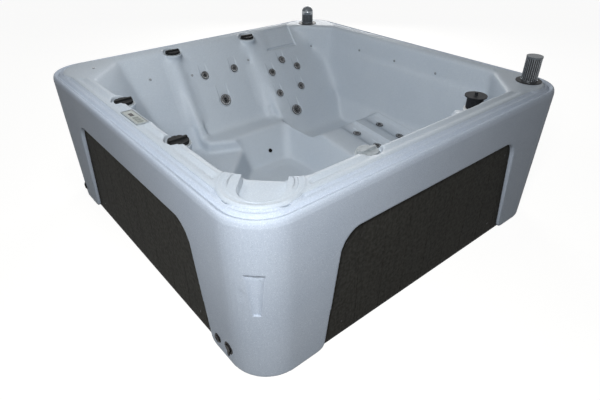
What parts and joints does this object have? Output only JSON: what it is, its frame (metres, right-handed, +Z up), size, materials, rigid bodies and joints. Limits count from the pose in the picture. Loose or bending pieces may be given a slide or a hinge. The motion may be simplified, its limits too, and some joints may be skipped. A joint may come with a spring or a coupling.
{
  "type": "hot tub",
  "caption": "Square moulded hot tub with a lounge, seats, a footwell, turning jets, pop-up speakers, air knobs, skimmer, pump and heater.",
  "frame": {"origin": "centre of the footprint on the ground", "axes": "+Z up, the lounge lies along the +X side, the control panel is on the -X side and the lounge's head is at +Y"},
  "size_m": [2.1992, 2.1992, 0.986],
  "materials": {
    "shell_acrylic": "speckled glossy acrylic",
    "surround_moulding": "speckled satin moulding",
    "panel_boards": "grained charcoal boards",
    "black_screws": "black",
    "base_plastic": "matt black",
    "frame_timber": "sawn softwood",
    "insulation": "foam board",
    "jet_steel": "brushed",
    "jet_face": "dark grey",
    "valve_plastic": "satin grey",
    "knob_grey": "satin dark grey",
    "light_lens": "clear",
    "black_fittings": "black",
    "speaker_chrome": "polished",
    "skimmer_plastic": "satin grey",
    "filter_fabric": "pleated",
    "control_face": "gloss black",
    "control_buttons": "satin grey",
    "pump_plastic": "black",
    "motor_enamel": "enamel",
    "rotor_steel": "machined",
    "pipe_plastic": "white",
    "heater_steel": "brushed",
    "box_plastic": "grey"
  },
  "bodies": {
    "tub": {"base_pan": "base_plastic", "cable_gland": "black_fittings", "control_box": "box_plastic", "control_faceplate": "control_face", "control_panel_housing": "black_fittings", "diverter_valves": "valve_plastic", "drain_valve": "black_fittings", "filter_cartridge": "filter_fabric", "frame": "frame_timber", "heater": "heater_steel", "jet_housings_large": "jet_steel", "jet_housings_small": "jet_steel", "light_points": "light_lens", "panel_front": "panel_boards", "panel_insulation": "insulation", "panel_left": "panel_boards", "panel_rear": "panel_boards", "panel_right": "panel_boards", "panel_screws": "black_screws", "pressure_pipes": "pipe_plastic", "pump_motor": "motor_enamel", "pump_wet_end": "pump_plastic", "shell": "shell_acrylic", "shell_props": "insulation", "skimmer_housing": "skimmer_plastic", "speaker_bezels": "black_fittings", "suction_pipe": "pipe_plastic", "surround": "surround_moulding", "vent_cap": "black_fittings", "wall_ports": "black_fittings"},
    "jet_rear_seat_1": {"jet_rear_seat_1": "jet_face"},
    "jet_rear_seat_2": {"jet_rear_seat_2": "jet_face"},
    "jet_rear_seat_large": {"jet_rear_seat_large": "jet_face"},
    "jet_lounge_back_1": {"jet_lounge_back_1": "jet_face"},
    "jet_lounge_back_2": {"jet_lounge_back_2": "jet_face"},
    "jet_lounge_back_3": {"jet_lounge_back_3": "jet_face"},
    "jet_lounge_back_4": {"jet_lounge_back_4": "jet_face"},
    "jet_lounge_back_5": {"jet_lounge_back_5": "jet_face"},
    "jet_lounge_back_large": {"jet_lounge_back_large": "jet_face"},
    "jet_calf_1": {"jet_calf_1": "jet_face"},
    "jet_calf_2": {"jet_calf_2": "jet_face"},
    "jet_calf_3": {"jet_calf_3": "jet_face"},
    "jet_calf_4": {"jet_calf_4": "jet_face"},
    "jet_left_seat": {"jet_left_seat": "jet_face"},
    "jet_front_seat": {"jet_front_seat": "jet_face"},
    "jet_near_corner_seat": {"jet_near_corner_seat": "jet_face"},
    "diverter_rear": {"diverter_rear": "knob_grey"},
    "diverter_lounge": {"diverter_lounge": "knob_grey"},
    "air_knob_corner": {"air_knob_corner": "knob_grey"},
    "air_knob_left": {"air_knob_left": "knob_grey"},
    "air_knob_front": {"air_knob_front": "knob_grey"},
    "speaker_right": {"speaker_right": "speaker_chrome"},
    "speaker_far": {"speaker_far": "speaker_chrome"},
    "skimmer_weir": {"skimmer_weir": "skimmer_plastic"},
    "skimmer_float": {"skimmer_float": "skimmer_plastic"},
    "control_button_1": {"control_button_1": "control_buttons"},
    "control_button_2": {"control_button_2": "control_buttons"},
    "control_button_3": {"control_button_3": "control_buttons"},
    "drain_valve_handle": {"drain_valve_handle": "black_fittings"},
    "pump_rotor": {"pump_rotor": "rotor_steel"}
  },
  "joints": [
    {"name": "jet_rear_seat_1_turn", "type": "hinge", "parent": "tub", "child": "jet_rear_seat_1", "pos_m": [-0.13784, 0.84175, 0.65075], "axis": [0, -0.883, 0.4693], "range_deg": [-45, 45]},
    {"name": "jet_rear_seat_2_turn", "type": "hinge", "parent": "tub", "child": "jet_rear_seat_2", "pos_m": [0.10696, 0.84175, 0.65075], "axis": [0, -0.883, 0.4693], "range_deg": [-45, 45]},
    {"name": "jet_rear_seat_large_turn", "type": "hinge", "parent": "tub", "child": "jet_rear_seat_large", "pos_m": [-0.0428, 0.74735, 0.47315], "axis": [0, -0.883, 0.4693], "range_deg": [-45, 45]},
    {"name": "jet_lounge_back_1_turn", "type": "hinge", "parent": "tub", "child": "jet_lounge_back_1", "pos_m": [0.51285, 0.7935, 0.6449], "axis": [0, -0.7973, 0.6036], "range_deg": [-45, 45]},
    {"name": "jet_lounge_back_2_turn", "type": "hinge", "parent": "tub", "child": "jet_lounge_back_2", "pos_m": [0.38385, 0.74805, 0.58487], "axis": [0, -0.7973, 0.6036], "range_deg": [-45, 45]},
    {"name": "jet_lounge_back_3_turn", "type": "hinge", "parent": "tub", "child": "jet_lounge_back_3", "pos_m": [0.62895, 0.74805, 0.58487], "axis": [0, -0.7973, 0.6036], "range_deg": [-45, 45]},
    {"name": "jet_lounge_back_4_turn", "type": "hinge", "parent": "tub", "child": "jet_lounge_back_4", "pos_m": [0.3774, 0.64705, 0.45147], "axis": [0, -0.7973, 0.6036], "range_deg": [-45, 45]},
    {"name": "jet_lounge_back_5_turn", "type": "hinge", "parent": "tub", "child": "jet_lounge_back_5", "pos_m": [0.59025, 0.6521, 0.45814], "axis": [0, -0.7973, 0.6036], "range_deg": [-45, 45]},
    {"name": "jet_lounge_back_large_turn", "type": "hinge", "parent": "tub", "child": "jet_lounge_back_large", "pos_m": [0.46125, 0.5511, 0.32474], "axis": [0, -0.7973, 0.6036], "range_deg": [-45, 45]},
    {"name": "jet_calf_1_turn", "type": "hinge", "parent": "tub", "child": "jet_calf_1", "pos_m": [0.57, 0.00293, 0.28841], "axis": [0, -0.1061, 0.9944], "range_deg": [-45, 45]},
    {"name": "jet_calf_2_turn", "type": "hinge", "parent": "tub", "child": "jet_calf_2", "pos_m": [0.57, -0.19207, 0.26761], "axis": [0, -0.1061, 0.9944], "range_deg": [-45, 45]},
    {"name": "jet_calf_3_turn", "type": "hinge", "parent": "tub", "child": "jet_calf_3", "pos_m": [0.805, 0.00293, 0.28841], "axis": [0, -0.1061, 0.9944], "range_deg": [-45, 45]},
    {"name": "jet_calf_4_turn", "type": "hinge", "parent": "tub", "child": "jet_calf_4", "pos_m": [0.805, -0.19207, 0.26761], "axis": [0, -0.1061, 0.9944], "range_deg": [-45, 45]},
    {"name": "jet_left_seat_turn", "type": "hinge", "parent": "tub", "child": "jet_left_seat", "pos_m": [-0.78275, -0.014, 0.53975], "axis": [0.883, 0, 0.4693], "range_deg": [-45, 45]},
    {"name": "jet_front_seat_turn", "type": "hinge", "parent": "tub", "child": "jet_front_seat", "pos_m": [-0.014, -0.78275, 0.53975], "axis": [0, 0.883, 0.4693], "range_deg": [-45, 45]},
    {"name": "jet_near_corner_seat_turn", "type": "hinge", "parent": "tub", "child": "jet_near_corner_seat", "pos_m": [-0.69694, -0.69694, 0.51025], "axis": [0.6279, 0.6279, 0.46], "range_deg": [-45, 45]},
    {"name": "diverter_rear_turn", "type": "hinge", "parent": "tub", "child": "diverter_rear", "pos_m": [-0.3162, 0.93, 0.815], "axis": [0, 0, 1], "range_deg": [-90, 90]},
    {"name": "diverter_lounge_turn", "type": "hinge", "parent": "tub", "child": "diverter_lounge", "pos_m": [0.29295, 0.93, 0.815], "axis": [0, 0, 1], "range_deg": [-90, 90]},
    {"name": "air_knob_corner_turn", "type": "hinge", "parent": "tub", "child": "air_knob_corner", "pos_m": [-0.93, 0.279, 0.815], "axis": [0, 0, 1], "range_deg": [-90, 90]},
    {"name": "air_knob_left_turn", "type": "hinge", "parent": "tub", "child": "air_knob_left", "pos_m": [-0.93, -0.3255, 0.815], "axis": [0, 0, 1], "range_deg": [-90, 90]},
    {"name": "air_knob_front_turn", "type": "hinge", "parent": "tub", "child": "air_knob_front", "pos_m": [-0.35805, -0.93, 0.815], "axis": [0, 0, 1], "range_deg": [-90, 90]},
    {"name": "speaker_right_rise", "type": "slide", "parent": "tub", "child": "speaker_right", "axis": [0, 0, 1], "range_m": [-0.137, 0], "stiffness_N_per_m": 60, "springref_m": 0.25},
    {"name": "speaker_far_rise", "type": "slide", "parent": "tub", "child": "speaker_far", "axis": [0, 0, 1], "range_m": [-0.125, 0], "stiffness_N_per_m": 60, "springref_m": 0.25},
    {"name": "skimmer_weir_swing", "type": "hinge", "parent": "tub", "child": "skimmer_weir", "pos_m": [0.392, -0.94586, 0.79784], "axis": [-1, 0, 0], "range_deg": [0, 40]},
    {"name": "skimmer_float_rise", "type": "slide", "parent": "tub", "child": "skimmer_float", "axis": [0, 0, 1], "range_m": [0, 0.04]},
    {"name": "control_button_1_press", "type": "slide", "parent": "tub", "child": "control_button_1", "axis": [0, 0, -1], "range_m": [0, 0.0012], "stiffness_N_per_m": 300, "springref_m": -0.002},
    {"name": "control_button_2_press", "type": "slide", "parent": "tub", "child": "control_button_2", "axis": [0, 0, -1], "range_m": [0, 0.0012], "stiffness_N_per_m": 300, "springref_m": -0.002},
    {"name": "control_button_3_press", "type": "slide", "parent": "tub", "child": "control_button_3", "axis": [0, 0, -1], "range_m": [0, 0.0012], "stiffness_N_per_m": 300, "springref_m": -0.002},
    {"name": "drain_valve_turn", "type": "hinge", "parent": "tub", "child": "drain_valve_handle", "pos_m": [-1.08866, -0.874, 0.088], "axis": [-1, 0, 0], "range_deg": [0, 90]},
    {"name": "pump_rotor_spin", "type": "hinge", "parent": "tub", "child": "pump_rotor", "pos_m": [-0.865, 0, 0.135], "axis": [0, 1, 0], "continuous": true}
  ]
}
